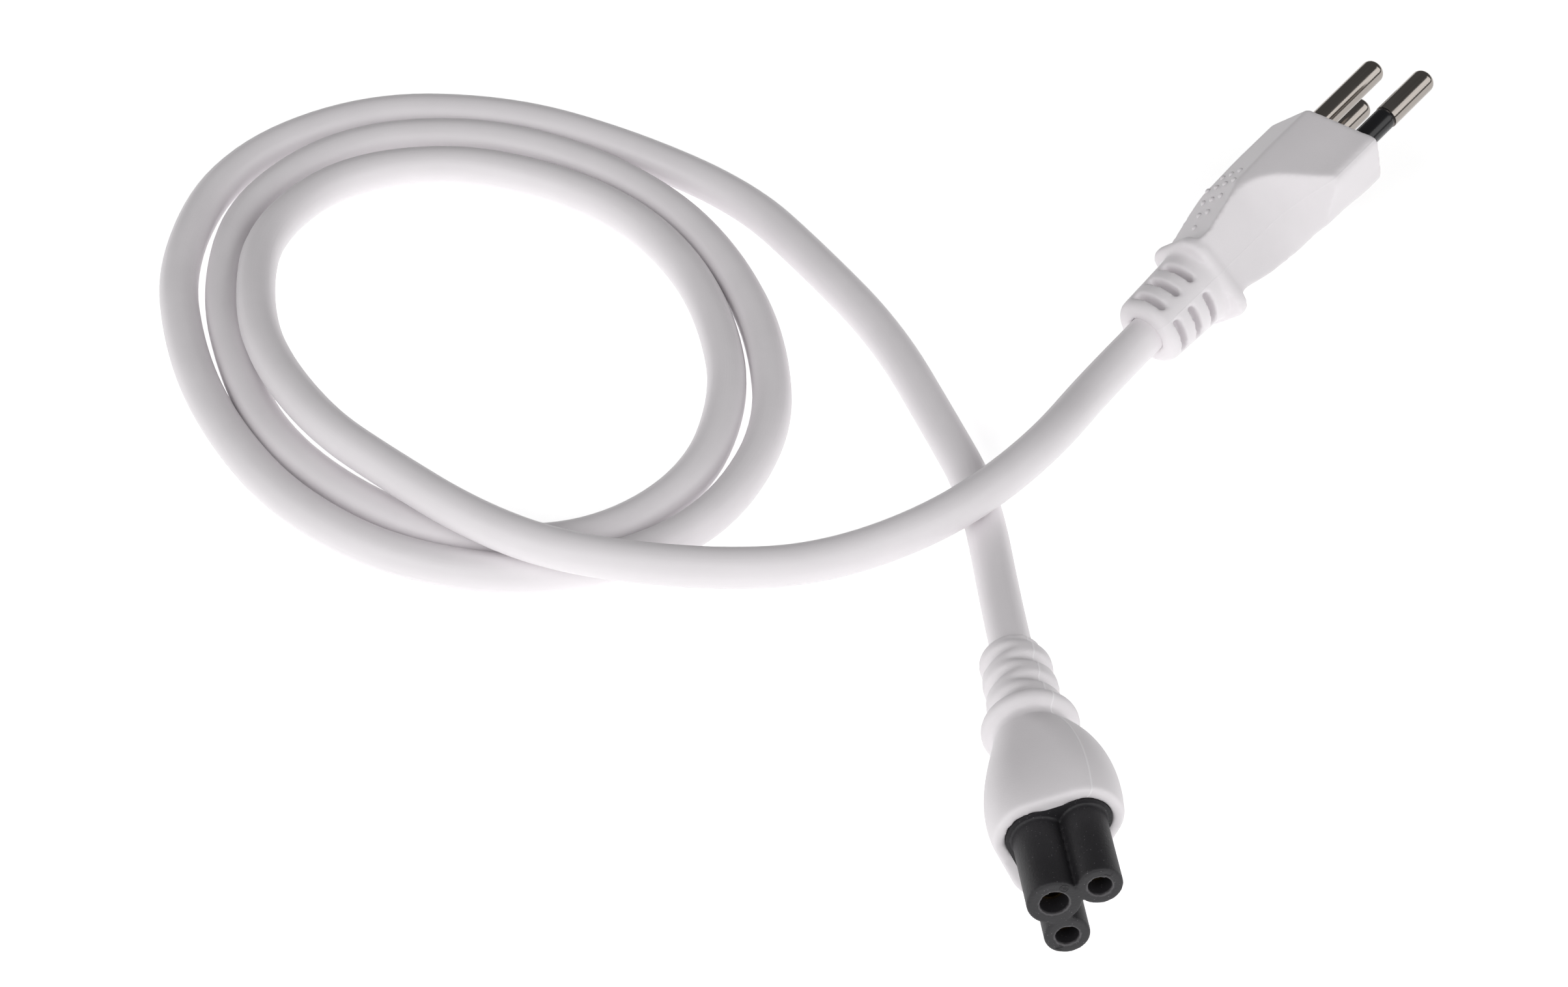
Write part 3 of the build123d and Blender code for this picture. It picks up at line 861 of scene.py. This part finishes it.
# %% Draw the contact marks
pen_radius = 0.06 * MM
ring_radius, ring_steps = 0.6, 20
ring_angles = [2 * pi * k / ring_steps for k in range(ring_steps + 1)]
ring = [(ring_radius * cos(angle), ring_radius * sin(angle)) for angle in ring_angles]
line_mark = [[(-0.25, 0.45), (-0.25, -0.45), (0.3, -0.45)]]
neutral_mark = [[(-0.3, -0.45), (-0.3, 0.45), (0.3, -0.45), (0.3, 0.45)]]
earth_mark = [
    ring,
    [(0, 0.42), (0, 0)],
    [(-0.36, 0), (0.36, 0)],
    [(-0.22, -0.2), (0.22, -0.2)],
    [(-0.08, -0.4), (0.08, -0.4)],
]
marks_mm = {(7.25, -1.5): line_mark, (-7.15, -1.5): neutral_mark, (2.9, 3.0): earth_mark}
pen = bpy.data.curves.new("pen", "CURVE")
pen.dimensions = "3D"
pen.bevel_depth = pen_radius
pen.bevel_resolution = 1
pen.use_fill_caps = True
for (x, y), strokes in marks_mm.items():
    for stroke in strokes:
        line = pen.splines.new("POLY")
        line.points.add(len(stroke) - 1)
        for point, (dx, dy) in zip(line.points, stroke):
            point.co = ((x + dx) * MM, (y + dy) * MM, 0, 1)
drawing = bpy.data.objects.new("drawing", pen)
scene.collection.objects.link(drawing)
evaluated = drawing.evaluated_get(bpy.context.evaluated_depsgraph_get())
marks_mesh = bpy.data.meshes.new_from_object(evaluated)
bpy.data.objects.remove(drawing)
marks_mesh.transform(connector_frame)
contact_marks = bpy.data.objects.new("contact_marks", marks_mesh)
scene.collection.objects.link(contact_marks)
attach(contact_marks, "root")
print("contact marks, faces", len(marks_mesh.polygons))

# %% [markdown]
# ## Give each piece its finish
# The pieces made here and the solids that stay as they are each get one finish.


# %% Finish every piece
def dress(material, *pieces):
    """Give pieces this finish in every slot they have."""
    for piece in pieces:
        if not piece.material_slots:
            piece.data.materials.append(material)
        for slot in piece.material_slots:
            slot.material = material


dress(plug_white, plug_moulding, grip_dots)
dress(connector_white, connector_moulding)
dress(flex_white, flex)
dress(front_black, contact_front, front_ledge, contact_marks)
dress(nickel, nodes["line_pin"], nodes["neutral_pin"], nodes["earth_pin"])
dress(sleeve_black, nodes["line_pin_sleeve"], nodes["neutral_pin_sleeve"])
dress(nylon, nodes["pin_bridge"])
dress(brass, nodes["line_contact"], nodes["neutral_contact"], nodes["earth_contact"])
dress(core_brown, nodes["plug_brown_core"], nodes["connector_brown_core"])
dress(core_blue, nodes["plug_blue_core"], nodes["connector_blue_core"])
dress(plug_stripes, nodes["plug_green_yellow_core"])
dress(connector_stripes, nodes["connector_green_yellow_core"])
print("finishes in use", len([m for m in bpy.data.materials if m.users]))

# %% [markdown]
# ## The table and the light
# A pale table that glows a little stands for the bright white ground, which throws light up under the flex.
# The room itself is dim. Soft lights stand in front, at both front corners and at both sides, so the faces
# that look straight up or away are the greyest, and the bright pins mirror the dim room between two pale
# edges.

# %% Table
table_half_side = 4
table_glow = 0.58
table_skin = bpy.data.meshes.new("table")
shape = bmesh.new()
bmesh.ops.create_grid(shape, x_segments=1, y_segments=1, size=table_half_side)
shape.to_mesh(table_skin)
shape.free()
table = bpy.data.objects.new("table", table_skin)
scene.collection.objects.link(table)
table_paint = bpy.data.materials.new("table_paint")
table_paint.use_nodes = True
surface = table_paint.node_tree.nodes["Principled BSDF"].inputs
surface["Base Color"].default_value = (0.9, 0.9, 0.9, 1)
surface["Roughness"].default_value = 0.9
surface["Emission Color"].default_value = (1, 1, 1, 1)
surface["Emission Strength"].default_value = table_glow
table_skin.materials.append(table_paint)
print("table", table.dimensions[:])

# %% Lights
lit_middle = Vector((-0.06, 0, 0))
light_side = 0.8
light_distance = 1.3
room_strength = 0.12


def soft_light(name, azimuth, elevation, power):
    """A square soft light in this direction from the lead, turned to it."""
    turn, rise = radians(azimuth), radians(elevation)
    lamp = bpy.data.lights.new(name, "AREA")
    lamp.size = light_side
    lamp.energy = power
    lit = bpy.data.objects.new(name, lamp)
    toward = Vector((cos(rise) * cos(turn), cos(rise) * sin(turn), sin(rise)))
    lit.location = lit_middle + toward * light_distance
    lit.rotation_euler = toward.to_track_quat("Z", "Y").to_euler()
    scene.collection.objects.link(lit)


soft_light("high_front_light", azimuth=-90, elevation=55, power=2.6)
soft_light("front_right_light", azimuth=-45, elevation=30, power=4.3)
soft_light("front_left_light", azimuth=-135, elevation=30, power=5.2)
soft_light("right_light", azimuth=0, elevation=30, power=2.8)
soft_light("left_light", azimuth=180, elevation=30, power=2.1)
room = bpy.data.worlds.new("room")
room.use_nodes = True
background = room.node_tree.nodes["Background"].inputs
background["Color"].default_value = (1, 1, 1, 1)
background["Strength"].default_value = room_strength
scene.world = room
scene.view_settings.view_transform = "Standard"
